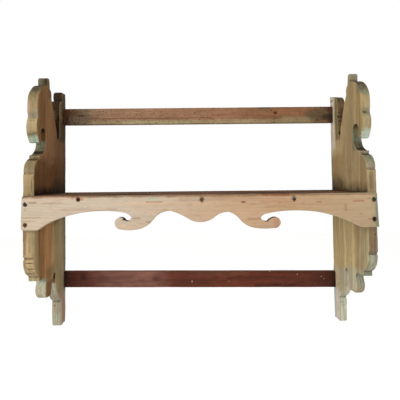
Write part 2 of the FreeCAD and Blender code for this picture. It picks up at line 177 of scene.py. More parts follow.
def worn_board(name, node, axis, arris, seed, chips=()):
    """A sawn board whose arrises have worn round.

    A profile is carried along its outline: a quarter round, the sawn edge and a quarter round
    again, from one flat face to the other. A point of it lies at outline(s) + inward normal(s)
    * inset, at its depth along axis. The quarter rounds' radius wanders along the outline, and
    shrinks where a tight bend would fold the inset. chips are (point, reach, depth), in
    millimetres, where the arris has worn rounder.
    """
    low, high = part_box(node)
    thickness = high[axis] - low[axis]
    loop = evenly_spaced(board_outline(node, axis), OUTLINE_STEP)
    loop = blurred(loop, OUTLINE_SOFTNESS / OUTLINE_STEP)
    along = (np.roll(loop, -1, axis=0) - np.roll(loop, 1, axis=0)) / (2 * OUTLINE_STEP)
    inward = np.column_stack([-along[:, 1], along[:, 0]])
    inward /= np.linalg.norm(inward, axis=1)[:, None]
    area = np.sum(loop[:, 0] * np.roll(loop[:, 1], -1) - np.roll(loop[:, 0], -1) * loop[:, 1])
    inward *= np.sign(area)
    count = len(loop)
    ripple = SAW_WAVES * wander(count, 14, seed + 7) + SAW_MARKS * wander(count, 3, seed + 8)
    loop = loop + inward * (ripple - ripple.min())[:, None]
    radii = []
    for side in (0, 1):
        waver = 0.28 * wander(count, 9, seed + side) + 0.12 * wander(count, 2.5, seed + 5)
        radius = arris[side] * (1 + waver)
        for place, reach, depth in chips:
            away = np.linalg.norm(loop - np.array(place) * MM, axis=1)
            radius += depth * MM * np.exp(-(away / (reach * MM)) ** 2)
        radii.append(unfolded(loop, inward, np.clip(radius, SHARPEST_ARRIS, 0.4 * thickness)))

    turn_in = np.linspace(0, np.pi / 2, ARRIS_STEPS + 1)[:, None]
    across = np.linspace(0, 1, EDGE_STEPS + 1)[1:-1, None]
    first, last = radii
    round_share = np.sin(2 * turn_in) * np.ones(count)
    arris_share = np.vstack([round_share, np.zeros((len(across), count)), round_share])
    hollow_share = hollows(along, np.sign(area)) * np.ones(arris_share.shape)
    hollow_share[[0, -1]] = 0
    bowl = EDGE_BOWL * (wander(count, 25, seed + 9) + 2) * np.sin(across * np.pi)
    inset = np.vstack([first * (1 - np.sin(turn_in)),
                       np.maximum(bowl, 0),
                       last * (1 - np.cos(turn_in))])
    depth = np.vstack([first * (1 - np.cos(turn_in)),
                       first + (thickness - first - last) * across,
                       thickness - last * (1 - np.sin(turn_in))])
    place = loop[None, :, :] + inward[None, :, :] * inset[:, :, None]
    points = np.insert(place, axis, low[axis] + depth, axis=2)
    covers = []
    for row in (0, -1):
        flat, triangles = cover(place[row])
        inner = np.insert(flat, axis, points[row, 0, axis], axis=1)
        covers.append((inner, triangles))
    return closed_skin(name, points, covers, arris=arris_share, hollow=hollow_share)


def hollows(along, sign):
    """1 at a closed outline's tight inner corners, 0 where it is straight or bulges. It is the
    curvature, from the sine of the turn between neighbouring directions, times a radius."""
    before, after = np.roll(along, 1, axis=0), np.roll(along, -1, axis=0)
    bend = -sign * (before[:, 0] * after[:, 1] - before[:, 1] * after[:, 0]) / (2 * OUTLINE_STEP)
    return np.minimum(blurred(np.clip(bend * HOLLOW_RADIUS, 0, 1), 1.2) * 1.4, 1)


def inside(points, loop):
    """Which of the 2-D points lie inside the closed loop: those whose level ray crosses it an
    odd number of times."""
    x, y = points[:, :1], points[:, 1:]
    (ax, ay), (bx, by) = loop.T, np.roll(loop, -1, axis=0).T
    spans = (ay > y) != (by > y)
    crossing = ax + (y - ay) / np.where(by == ay, 1e-12, by - ay) * (bx - ax)
    return np.sum(spans & (x < crossing), axis=1) % 2 == 1


def cover(loop, pitch=9 * MM):
    """Triangles that fill a flat loop, with a grid of points inside it to keep them even.

    Gives the grid's points, and the triangles with the loop's own points numbered first.
    """
    low, high = loop.min(axis=0), loop.max(axis=0)
    steps = [np.arange(low[k] + pitch / 2, high[k], pitch) for k in (0, 1)]
    grid = np.stack(np.meshgrid(*steps), axis=2).reshape(-1, 2)
    away = np.linalg.norm(grid[:, None, :] - loop[None, ::3, :], axis=2).min(axis=1)
    grid = grid[inside(grid, loop) & (away > pitch * 0.6)]
    count = len(loop)
    both = np.vstack([loop, grid])
    rim = [(k, (k + 1) % count) for k in range(count)]
    found = delaunay_2d_cdt([Vector(point) for point in both], rim, [], 0, 1e-9)
    source = np.array([origin[0] for origin in found[3]])
    triangles = source[np.array(found[2])]
    return grid, triangles[inside(both[triangles].mean(axis=1), loop)]


def closed_skin(name, points, covers=None, **shares):
    """A closed mesh from a grid of points: rows are rings, which wrap round. The first and last
    ring are closed by the covers, pairs of (points, triangles), or by one flat face each. Each
    of the shares is a value for every point of the grid, which the mesh carries."""
    rows, count = points.shape[:2]
    ring = np.arange(count)
    start = (np.arange(rows - 1) * count)[:, None]
    near, far = start + ring, start + np.roll(ring, -1)
    quads = np.stack([near, far, far + count, near + count], axis=2).reshape(-1, 4)
    vertices = [points.reshape(-1, 3)]
    faces = quads.tolist()
    if covers is None:
        faces += [ring[::-1].tolist(), (ring + (rows - 1) * count).tolist()]
    else:
        total = rows * count
        for first, (inner, triangles) in zip((0, (rows - 1) * count), covers):
            rim = triangles < count
            faces += np.where(rim, triangles + first, triangles - count + total).tolist()
            vertices.append(inner)
            total += len(inner)
    mesh = bpy.data.meshes.new(name)
    mesh.from_pydata(np.vstack(vertices).tolist(), [], faces)
    mesh.polygons.foreach_set("use_smooth", np.ones(len(faces), bool))
    for share, values in shares.items():
        carried = np.zeros(len(mesh.vertices), np.float32)
        carried[:rows * count] = values.ravel()
        mesh.attributes.new(share, "FLOAT", "POINT").data.foreach_set("value", carried)
    piece = bpy.data.objects.new(name, mesh)
    bpy.context.scene.collection.objects.link(piece)
    face_outwards(piece)
    return piece


def face_outwards(piece):
    """Turns every face of a closed mesh to point out of it."""
    work = bmesh.new()
    work.from_mesh(piece.data)
    bmesh.ops.recalc_face_normals(work, faces=work.faces)
    work.to_mesh(piece.data)
    work.free()


def planed_bar(name, node, arris, seed, notches=()):
    """A straight planed bar along X with worn arrises and closed ends.

    It is a rounded rectangle carried along X: its corner points are centre(side) + radius *
    (cos, sin) of four quarter turns. Low edge, high edge and corner radii are functions of X.
    notches are (x, corner, reach, depth): a bruise that deepens the radius of one long arris.
    """
    points = as_points(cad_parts[node].data)
    ends = [points[:, X].min(), points[:, X].max()]
    at_end = [points[np.abs(points[:, X] - end) < 1e-5] for end in ends]
    x = np.linspace(*ends, BAR_RINGS)
    share = (x - ends[0]) / (ends[1] - ends[0])
    low_z = np.interp(share, (0, 1), [end[:, Z].min() for end in at_end])
    high_z = np.interp(share, (0, 1), [end[:, Z].max() for end in at_end])
    low_y, high_y = points[:, Y].min(), points[:, Y].max()

    corners = [(high_y, high_z), (low_y, high_z), (low_y, low_z), (high_y, low_z)]
    rows = []
    for corner, (y, z) in enumerate(corners):
        radius = arris * (1 + 0.3 * wander(len(x), 6, seed + corner))
        for notch_x, notch_corner, reach, depth in notches:
            if notch_corner == corner:
                radius += depth * np.exp(-((x - notch_x) / reach) ** 2)
        radius = np.maximum(radius, SHARPEST_ARRIS)
        angle = (np.linspace(0, np.pi / 2, ARRIS_STEPS + 1) + corner * np.pi / 2)[:, None]
        sign_y, sign_z = ((1, 1), (-1, 1), (-1, -1), (1, -1))[corner]
        rows.append(np.stack([
            np.broadcast_to(x, (len(angle), len(x))),
            y - sign_y * radius + radius * np.cos(angle),
            z - sign_z * radius + radius * np.sin(angle)], axis=2))
    ring = np.vstack(rows).transpose(1, 0, 2)
    round_share = np.tile(np.sin(np.linspace(0, np.pi, ARRIS_STEPS + 1)), 4)
    return closed_skin(name, ring, arris=np.broadcast_to(round_share, ring.shape[:2]))


def turned(name, mouth, inwards, profile, sides=24):
    """A closed solid of revolution, used to cut a hole.

    profile is pairs of (radius, depth from mouth along inwards); a point of the surface is
    mouth + inwards * depth + (u * cos + v * sin) * radius, with u and v square to inwards.
    """
    inwards = Vector(inwards).normalized()
    u = inwards.orthogonal().normalized()
    v = inwards.cross(u)
    angle = np.linspace(0, 2 * np.pi, sides, endpoint=False)
    radius, depth = np.array(profile).T
    circle = np.outer(np.cos(angle), u) + np.outer(np.sin(angle), v)
    points = (np.array(mouth) + depth[:, None, None] * np.array(inwards)
              + radius[:, None, None] * circle[None, :, :])
    return closed_skin(name, points)


def screw_seat(node, axis, sign):
    """The cutter for a screw's countersunk seat, found from the screw: it is driven along axis."""
    low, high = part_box(node)
    radius = (high - low)[(axis + 1) % 3] / 2
    head = (low + high) / 2
    head[axis] = low[axis] if sign > 0 else high[axis]
    inwards = Vector((0, 0, 0))
    inwards[axis] = sign
    wide, narrow = radius + SCREW_GAP, radius / 2
    profile = [(wide, -OVERHANG), (wide, SEAT_RIM_DEPTH), (narrow, COUNTERSINK_DEPTH),
               (narrow, PILOT_DEPTH)]
    return turned("cutter", head, inwards, profile)


def nail_hole(mouth, inwards):
    """The cutter for a small round hole that a nail has left. mouth is in millimetres."""
    profile = [(NAIL_RADIUS * 1.3, -OVERHANG), (NAIL_RADIUS * 1.3, 0.2 * MM), (NAIL_RADIUS, 1 * MM),
               (NAIL_RADIUS * 0.7, NAIL_DEPTH)]
    return turned("cutter", np.array(mouth) * MM, inwards, profile, sides=12)


def slot_cutter(centre, half_width, half_straight, depth):
    """The cutter for a recess with round ends in a rear edge, from the wall towards the room.

    Its ring is two half circles of half_width, half_straight above and below the centre.
    """
    angle = np.linspace(0, 2 * np.pi, 32, endpoint=False)
    ring_x = centre[X] + half_width * np.cos(angle)
    ring_z = centre[Z] + half_width * np.sin(angle) + np.sign(np.sin(angle) + 1e-9) * half_straight
    rings = [np.column_stack([ring_x, np.full(len(angle), y), ring_z]) for y in (OVERHANG, -depth)]
    return closed_skin("cutter", np.array(rings))


def hanger_cutters(node):
    """The recess for a hanger plate and the deeper pocket behind its keyhole."""
    low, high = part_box(node)
    centre = (low + high) / 2
    half_width = (high[X] - low[X]) / 2 + SCREW_GAP
    half_straight = (high[Z] - low[Z]) / 2 - (high[X] - low[X]) / 2
    pocket = centre + Vector((0, 0, KEYHOLE_RISE / 2))
    return [slot_cutter(centre, half_width, half_straight, POCKET_DEPTH),
            slot_cutter(pocket, KEYHOLE_POCKET_RADIUS, KEYHOLE_RISE / 2, KEYHOLE_POCKET_DEPTH)]


def cut(piece, cutters):
    """Takes the cutters away from the piece, one after another, and removes them."""
    for cutter in cutters:
        step = piece.modifiers.new("cut", "BOOLEAN")
        step.operation = "DIFFERENCE"
        step.solver = "EXACT"
        step.object = cutter
        bpy.context.view_layer.update()
        seen = piece.evaluated_get(bpy.context.evaluated_depsgraph_get())
        finished = bpy.data.meshes.new_from_object(seen)
        piece.modifiers.clear()
        old, piece.data = piece.data, finished
        bpy.data.meshes.remove(old)
        bpy.data.objects.remove(cutter)
    piece.data.name = piece.name


# ---------------------------------------------------------------- materials

def tone(red, green, blue):
    """A colour as it looks, 0 to 255 a channel, turned to the linear light the shader wants."""
    seen = np.array([red, green, blue]) / 255
    linear = np.where(seen < 0.04045, seen / 12.92, ((seen + 0.055) / 1.055) ** 2.4)
    return (*linear.tolist(), 1.0)


class Field:
    """A number, vector or colour that varies over a surface. Arithmetic adds shader nodes."""

    def __init__(self, shading, socket):
        self.shading = shading
        self.socket = socket

    def _math(self, operation, *others):
        return self.shading.math(operation, self, *others)

    def __add__(self, other):
        return self._math("ADD", other)

    def __sub__(self, other):
        return self._math("SUBTRACT", other)

    def __rsub__(self, other):
        return self.shading.math("SUBTRACT", other, self)

    def __mul__(self, other):
        return self._math("MULTIPLY", other)

    def __truediv__(self, other):
        return self._math("DIVIDE", other)

    __radd__, __rmul__ = __add__, __mul__

    def __abs__(self):
        return self._math("ABSOLUTE")

    def rise(self, low, high):
        """A smooth step: 0 up to low, 1 from high on. With low above high it falls instead."""
        if low > high:
            return 1 - self.rise(high, low)
        return self.shading.add("MapRange", (self, low, high), interpolation_type="SMOOTHSTEP")

    def between(self, low, high, soft):
        """1 from low to high, falling smoothly to 0 over soft to each side of them."""
        return self.rise(low - soft, low + soft) * self.rise(high + soft, high - soft)


class Shading:
    """The shader nodes of a material or of the world, added one after another."""

    def __init__(self, owner):
        owner.use_nodes = True
        self.tree = owner.node_tree
        self.tree.nodes.clear()

    def add(self, kind, values=(), out=0, **settings):
        """Adds a node and gives one of its outputs. values fill its inputs in order, or, in a
        dict, by their names or numbers."""
        node = self.tree.nodes.new("ShaderNode" + kind)
        for setting, value in settings.items():
            setattr(node, setting, value)
        values = values if isinstance(values, dict) else dict(enumerate(values))
        for name, value in values.items():
            if isinstance(value, Field):
                self.tree.links.new(value.socket, node.inputs[name])
            else:
                node.inputs[name].default_value = value
        return Field(self, node.outputs[out]) if node.outputs else None

    def math(self, operation, *values):
        return self.add("Math", values, operation=operation)

    def seen_direct(self):
        """1 where the camera, a gloss or a glass looks, 0 for the light that is given off."""
        seen = self.add("LightPath", (), "Is Camera Ray")
        for ray in ("Is Glossy Ray", "Is Transmission Ray"):
            seen = self.math("MAXIMUM", seen, self.add("LightPath", (), ray))
        return seen


class Finish(Shading):
    """One material as it is built up from fields: colour, roughness and relief.

    stray is three numbers from about -0.5 to 0.5 that vary from place to place, for ragged rims.
    """

    def __init__(self, name):
        self.material = bpy.data.materials.new(name)
        super().__init__(self.material)
        self.place = self.add("TexCoord", (), "Object")
        self.at = self.parts(self.place)
        self.facing = self.parts(self.add("TexCoord", (), "Normal"))
        self.stray = [part - 0.5 for part in self.parts(self.noise(48, 4.0, 0.68, out="Color"))]
        self.colour = None

    def parts(self, vector):
        split = self.add("SeparateXYZ", (vector,)).socket.node
        return [Field(self, output) for output in split.outputs]

    def noise(self, per_metre, detail=2.0, roughness=0.5, place=None, out="Fac"):
        return self.add("TexNoise", {"Vector": place or self.place, "Scale": per_metre,
                                     "Detail": detail, "Roughness": roughness}, out)

    def cells(self, per_metre):
        """Distance to the nearest of many scattered points."""
        return self.add("TexVoronoi", {"Vector": self.place, "Scale": per_metre}, "Distance")

    def attribute(self, name):
        """A value that the piece's mesh carries at each of its points."""
        return self.add("Attribute", (), "Fac", attribute_name=name)

    def blend(self, share, first, second, way="MIX"):
        """first where share is 0, second (with way MULTIPLY: their product) where it is 1."""
        values = {0: share, 6: first, 7: second}
        return self.add("Mix", values, 2, data_type="RGBA", blend_type=way)

    def changing(self, along, stops):
        """A colour that changes along a length. stops are (millimetres, colour), rising."""
        low, high = stops[0][0], stops[-1][0]
        ramp = self.add("ValToRGB", ((along - low * MM) / ((high - low) * MM),))
        points = ramp.socket.node.color_ramp.elements
        points[1].position = 1.0
        for place, _ in stops[1:-1]:
            points.new((place - low) / (high - low))
        for point, (_, colour) in zip(points, stops):
            point.color = colour
        return ramp

    def stain(self, colour, share):
        """Lays a colour over the finish, as strong as share."""
        self.colour = self.blend(share, self.colour, colour)

    def stains(self, rows, where=1.0):
        """Stains with ragged rims, each a row of (colour, strength, softness, limits). limits
        gives the lowest and highest place along each axis that bounds the stain. Places and
        softness are millimetres, and a soft rim strays further."""
        for colour, strength, soft, limits in rows:
            share = strength * where
            for axis, (low, high) in limits.items():
                place = self.math("MULTIPLY_ADD", self.stray[axis], 3 * soft * MM, self.at[axis])
                share = place.between(low * MM, high * MM, soft * MM) * share
            self.stain(colour, share)

    def marks(self, rows):
        """Small blots: rows of (colour, strength, centre, half axes), in millimetres. An axis
        whose half axis is 0 doesn't bound the mark."""
        for colour, strength, centre, reach in rows:
            away = 0.0
            for axis in (X, Y, Z):
                if reach[axis]:
                    off = (self.at[axis] - centre[axis] * MM) / (reach[axis] * MM)
                    off = self.math("MULTIPLY_ADD", self.stray[axis], 0.8, off)
                    away = off * off + away
            self.stain(colour, away.rise(1.0, 0.1) * strength)

    def specks(self, colour, strength, per_metre, size):
        """Scattered dots, size in shares of their spacing."""
        self.stain(colour, self.cells(per_metre).rise(size, size * 0.6) * strength)

    def shade(self, field, low, high, soft=0.2):
        """Makes the colour darker or lighter: times low where the field lies more than soft under
        its middle, 0.5, and times high where it lies as far above."""
        share = field.rise(0.5 - soft, 0.5 + soft)
        level = self.blend(share, (low, low, low, 1), (high, high, high, 1))
        self.colour = self.blend(1.0, self.colour, level, "MULTIPLY")

    def surface(self, roughness, relief, depth, metallic=0.0, specular=0.3):
        """Joins colour, roughness and relief, whose full height is depth in metres."""
        shader = self.add("BsdfPrincipled", {
            "Base Color": self.colour, "Roughness": roughness, "Metallic": metallic,
            "Specular IOR Level": specular,
            "Normal": self.add("Bump", {"Height": relief, "Distance": depth})})
        self.add("OutputMaterial", (shader,))
        return self.material


class Timber(Finish):
    """The figure of a sawn board, in solid space, so that its faces and edges agree.

    Growth rings are cylinders about the pith, a line along the grain that lies at pith in the
    two cross directions. Slow noise bends them. late is the dark late wood of each ring;
    plank, streak and fibre are noise drawn out along the grain, from broad to fine; blotch and
    mottle are cloudy, and pore marks short dark dashes. All go from 0 to 1.
    """

    def __init__(self, name, grain, pith, gap, wave, seed):
        super().__init__(name)
        side, depth = (self.at[axis] for axis in (X, Y, Z) if axis != grain)
        run = self.at[grain] + seed

        def drawn_out(along, across, detail, roughness=0.5, scale=1.0):
            place = self.add("CombineXYZ", (run * along, side * across, depth * across))
            return self.noise(scale, detail, roughness, place)

        bend = (drawn_out(3.0, 11, 2.0) - 0.5) * (wave * 4)
        bend_too = (drawn_out(4.5, 16, 2.0, scale=1.3) - 0.5) * (wave * 4)
        shake = (drawn_out(14, 75, 2.0) - 0.5) * (wave * 0.3)
        side_off = side - pith[0] + bend + shake
        depth_off = depth - pith[1] + bend_too + shake
        radius = self.math("SQRT", side_off * side_off + depth_off * depth_off)
        ring = self.math("FRACT", radius / gap)
        self.late = ring.rise(0.3, 0.9) * ring.rise(1.0, 0.93)
        self.plank = drawn_out(2.6, 62, 2.0)
        self.streak = drawn_out(5.0, 210, 3.0, 0.6)
        self.fibre = drawn_out(24, 850, 3.0, 0.6)
        self.blotch = drawn_out(7, 26, 3.0, 0.55)
        self.mottle = drawn_out(45, 120, 3.0, 0.6)
        self.pore = drawn_out(70, 620, 1.0).rise(0.66, 0.74)

    def draw_grain(self, line, late, broad, fine, pore):
        """Draws the figure over the colour in the line's tone, each feature by its strength."""
        self.stain(line, self.late * late)
        self.shade(self.plank, 1 - broad, 1 + broad, soft=0.18)
        self.shade(self.streak, 1 - broad, 1 + broad)
        self.shade(self.fibre, 1 - fine, 1 + fine)
        self.stain(line, self.pore * pore)

    def cloud(self, blotch, mottle):
        """Makes the colour cloudy, each from its (darkest, lightest) share."""
        self.shade(self.blotch, *blotch)
        self.shade(self.mottle, *mottle)

    def finished(self, depth=0.45 * MM, shine=0.22):
        """The worn surface: the soft early wood has sunk a little, and pores are pits."""
        relief = self.late * 0.35 + self.fibre * 0.45 + self.streak * 0.3 - self.pore * 0.3
        return self.surface(0.68 + self.fibre * 0.25, relief, depth, specular=shine)


# The tones of dirt, bare wood and old paint, from dark to pale. The darkest ones are also used as
# painted shade.
CHAR_AND_SHADE = tone(25, 12, 7)
SOOT_AND_SHADE = tone(24, 17, 12)
BARK = tone(52, 26, 12)
DARK_RED = tone(65, 30, 20)
GRIME_AND_SHADE = tone(52, 40, 28)
PEAT = tone(66, 50, 35)
UMBER = tone(88, 55, 39)
CINNAMON = tone(94, 59, 30)
RUST = tone(112, 52, 28)
DUSK = tone(82, 70, 53)
GRAIN_BROWN = tone(104, 70, 42)
DAMP = tone(90, 82, 61)
BRICK = tone(124, 70, 43)
WALNUT = tone(109, 83, 58)
COPPER = tone(145, 77, 47)
RUSSET = tone(130, 89, 52)
WET_GREY = tone(102, 96, 74)
TEAK = tone(127, 84, 61)
OLIVE = tone(112, 104, 70)
LICHEN = tone(105, 103, 81)
DRAB = tone(120, 104, 72)
HAZEL = tone(134, 99, 64)
FOX = tone(147, 91, 65)
DUST = tone(120, 106, 84)
NUT = tone(145, 108, 68)
MAUVE = tone(137, 111, 87)
DARK_MOSS = tone(122, 121, 96)
GINGER = tone(163, 105, 73)
OLD_VARNISH = tone(136, 118, 88)
KHAKI = tone(140, 122, 84)
BRONZE = tone(156, 115, 77)
CARAMEL = tone(165, 121, 88)
MOSS = tone(137, 135, 108)
APRICOT = tone(178, 127, 93)
DARK_PINE = tone(156, 139, 104)
TAN = tone(170, 141, 98)
OCHRE = tone(172, 148, 98)
TAUPE = tone(156, 144, 120)
DULL_PINE = tone(168, 149, 110)
OLD_PINK = tone(178, 138, 114)
AMBER = tone(198, 148, 97)
COOL_SAGE = tone(149, 158, 137)
NEW_PINE = tone(176, 158, 119)
HONEY = tone(190, 164, 120)
SAGE = tone(171, 169, 145)
PALE_PINK = tone(191, 158, 137)
PALE_PINE = tone(188, 174, 132)
LIMEWASH = tone(174, 189, 165)
STRAW = tone(217, 191, 139)
CHALK = tone(195, 191, 168)
MINT = tone(187, 201, 179)
CREAM = tone(220, 205, 169)
BLUSH_WHITE = tone(222, 210, 194)
MINT_WHITE = tone(216, 224, 210)


def side_board_wood(name, look):
    """Old pine of a side board: bare brown on its faces, limewashed on its sawn edges.

    The faces' colours run from the front edge to the wall, one row for above the shelf and one
    for below it, and the edges' colours run from the foot upwards.
    """
    wood = Timber(name, Z, look["pith"], 5.5 * MM, 6 * MM, look["seed"])
    face = abs(wood.facing[X]).rise(0.3, 0.75)
    edge = 1 - face
    inner = (wood.facing[X] * -look["side"]).rise(0.0, 0.5)
    arris, hollow = wood.attribute("arris"), wood.attribute("hollow")
    flakes = wood.noise(130, 3.0, 0.6)

    above_shelf = wood.at[Z].rise(-25 * MM, 15 * MM)
    across = wood.at[Y] + (wood.plank - 0.5) * (30 * MM)
    wood.colour = wood.blend(above_shelf, wood.changing(across, look["face_below"]),
                             wood.changing(across, look["face_above"]))
    wood.stains(look["face_stains"], inner)
    height = wood.at[Z] + (wood.blotch - 0.5) * (12 * MM)
    sawn = wood.changing(height, look["edge"])
    wood.colour = wood.blend(face, sawn, wood.colour)
    wood.stain(LIMEWASH, flakes.rise(0.54, 0.68) * edge * look["flakes"])
    wood.stain(OCHRE, flakes.rise(0.42, 0.3) * edge * 0.3)
    wood.stains(look["edge_stains"], edge)
    wood.stain(OLD_VARNISH, wood.at[Y].rise(-6 * MM, -2 * MM) * edge * 0.65)
    wood.cloud((0.88, 1.1), (0.92, 1.06))
    low_lobes = wood.at[Z].rise(-90 * MM, -120 * MM)
    wood.draw_grain(GRAIN_BROWN, face * 0.14 + edge * (low_lobes * 0.2 + 0.06), 0.11, 0.07, 0.35)
    wood.stain(PALE_PINE, arris * face * 0.2)
    # Inner corners of the sawn outline are darkened: grime and painted shade.
    wood.stain(GRIME_AND_SHADE, hollow * edge * wood.mottle.rise(0.3, 0.6) * 0.6)
    prongs = wood.at[Y].rise(-72 * MM, -58 * MM) * wood.at[Z].rise(96 * MM, 122 * MM)
    coves = wood.at[Y].between(-128 * MM, -98 * MM, 3 * MM)
    coves = wood.at[Z].between(84 * MM, 112 * MM, 3 * MM) * coves
    wood.specks(SOOT_AND_SHADE, (prongs + coves) * edge * 0.6, 170, 0.34)
    wood.specks(GRAIN_BROWN, edge * low_lobes * 0.5, 150, 0.2)
    wood.marks(look["marks"])
    return wood.finished(shine=0.05)


LEFT_LOOK = {
    "side": -1,
    "seed": 0.3,
    "pith": (-0.38, -0.05),
    "flakes": 0.22,
    "face_above": [
        (-152, BRONZE), (-96, BRONZE), (0, WALNUT)],
    "face_below": [
        (-152, HONEY), (-136, DULL_PINE), (-128, NUT), (-84, AMBER), (-60, HONEY), (-26, NEW_PINE),
        (0, MAUVE)],
    "face_stains": [
        # The next three rows darken the inner face near the shelf: dirt and a painted contact
        # shadow.
        (CINNAMON, 0.75, 24, {Z: (-40, 74)}),
        (CHAR_AND_SHADE, 0.95, 9, {Z: (-40, 20)}),
        (GRIME_AND_SHADE, 0.7, 14, {Y: (-74, 20), Z: (-40, 36)}),
        (DUSK, 0.7, 5, {Y: (-46, 10), Z: (176, 240)}),
        (DARK_PINE, 0.6, 2.5, {Y: (-36, -26), Z: (130, 212)}),
        (GRIME_AND_SHADE, 0.6, 6, {Y: (-50, 10), Z: (120, 168)}),
        (WALNUT, 0.6, 4, {Y: (-94, -70), Z: (200, 250)}),
        (DRAB, 0.6, 10, {Y: (-100, -58), Z: (-160, -132)}),
        # Painted shadow on the inner face beside the lower knob.
        (WALNUT, 0.65, 3, {Y: (-98, -62), Z: (-198, -162)}),
        (CHALK, 0.7, 3, {Y: (-118, -101), Z: (-202, -166)}),
        (HAZEL, 0.75, 10, {Y: (-160, -104), Z: (112, 240)}),
        (PALE_PINK, 0.7, 8, {Z: (-290, -206)}),
        (RUSSET, 0.6, 2, {Y: (-132, -127), Z: (-105, -8)}),
        (AMBER, 0.4, 3, {Y: (-57, -50), Z: (-130, -40)})],
    "edge": [
        (-278, SAGE), (-224, SAGE), (-202, CHALK), (-172, CHALK), (-158, MINT), (-146, NEW_PINE),
        (-100, HONEY), (-50, DULL_PINE), (46, HONEY), (52, DARK_PINE), (76, KHAKI), (90, DAMP),
        (103, DAMP), (108, LIMEWASH), (116, LIMEWASH), (124, DRAB), (130, DULL_PINE),
        (150, NEW_PINE), (158, TAUPE), (176, DULL_PINE), (196, KHAKI), (212, DAMP), (224, DUSK),
        (241, DAMP)],
    "edge_stains": [
        # The next two rows darken the rear prong and, near black, the deep slot in front of it:
        # painted shade with some grime.
        (GRIME_AND_SHADE, 0.95, 5, {Y: (-46, 8), Z: (168, 240)}),
        (CHAR_AND_SHADE, 0.97, 5, {Y: (-66, 6), Z: (112, 176)}),
        (BARK, 0.6, 3, {Y: (-60, -30), Z: (144, 160)}),
        (DAMP, 0.75, 4, {Y: (-136, -94), Z: (205, 226)}),
        (DARK_MOSS, 0.95, 3, {Y: (-126, -98), Z: (92, 121)}),
        # A thin dark line at the bottom of the cove: painted shade.
        (GRIME_AND_SHADE, 0.9, 1.2, {Y: (-129, -106), Z: (86.5, 93.5)}),
        (DARK_PINE, 0.85, 0.9, {Y: (-138, -123), Z: (77, 82)}),
        # A thin dark line under the knob: painted shade.
        (GRIME_AND_SHADE, 0.85, 0.8, {Y: (-141, -131), Z: (73, 76)}),
        (CINNAMON, 0.9, 4, {Y: (-126, -98), Z: (111, 150)}),
        (BARK, 0.8, 2, {Y: (-126, -98), Z: (130, 150)}),
        (RUSSET, 0.9, 3, {Y: (-72, -50), Z: (-176, -148)}),
        # Darker on the edges inside the slot behind the finger: painted shade.
        (PEAT, 0.85, 4, {Y: (-86, -50), Z: (150, 238)}),
        (OLD_PINK, 0.3, 6, {X: (-330, -308), Z: (164, 186)}),
        (DARK_MOSS, 0.5, 2, {X: (-330, -308.5), Y: (-104, -80), Z: (226, 238)}),
        (GRIME_AND_SHADE, 0.75, 1.5, {X: (-306, -298), Y: (-104, -70), Z: (229, 250)}),
        (PEAT, 0.8, 1.0, {Y: (-104, -90), Z: (221, 224.5)}),
        (HAZEL, 0.6, 2, {X: (-330, -315), Z: (-96, -54)}),
        (HAZEL, 0.5, 1.2, {X: (-309, -306), Z: (-92, -66)}),
        (OLIVE, 0.6, 2.5, {X: (-303.5, -298), Z: (-101, 46)}),
        (OLD_PINK, 0.7, 5, {X: (-330, -309), Z: (-196, -184)}),
        (PALE_PINK, 0.35, 5, {Y: (-60, 8), Z: (-222, -204)}),
        (OLD_PINK, 0.3, 5, {Y: (-30, 8), Z: (-250, -226)}),
        (CREAM, 0.2, 4, {Y: (-116, -84), Z: (-188, -158)})],
    "marks": [
        # A thin dark line under a step of the outline: painted shade.
        (GRIME_AND_SHADE, 0.4, (-310, -140, 147.5), (9, 20, 1.0)),
        (GRIME_AND_SHADE, 0.7, (-305, -152, 28), (0.9, 0, 19)),
        (GRIME_AND_SHADE, 0.6, (-308, -152, 10.5), (3.5, 0, 0.9)),
        # A thin dark line under a step of the outline: painted shade.
        (GRIME_AND_SHADE, 0.5, (-310, -130, 77), (9, 20, 0.9)),
        (GRAIN_BROWN, 0.8, (-309, -150, -112), (10, 12, 1.8)),
        (GRAIN_BROWN, 0.8, (-307, -150, -123), (9, 14, 1.6)),
        (GRAIN_BROWN, 0.7, (-311, -145, -133), (7, 14, 1.6)),
        # A thin dark line under a step of the outline: painted shade.
        (GRIME_AND_SHADE, 0.6, (-308, -110, -150.5), (8, 20, 1.2)),
        # Painted shade in the crevice at the top of the lower slot.
        (SOOT_AND_SHADE, 0.9, (-300, -56.3, -161.5), (0, 2.2, 8)),
        (GRIME_AND_SHADE, 0.9, (-314.9, -24.5, -233.6), (1.8, 0, 1.8)),
        (GRIME_AND_SHADE, 0.8, (-308, -24.5, -214), (2.8, 0, 1.2)),
        (GRIME_AND_SHADE, 0.5, (-306, -24.5, -222), (1.4, 0, 3.4)),
        (RUST, 0.5, (-310, -139, 176), (1.5, 0, 1.2))],
}

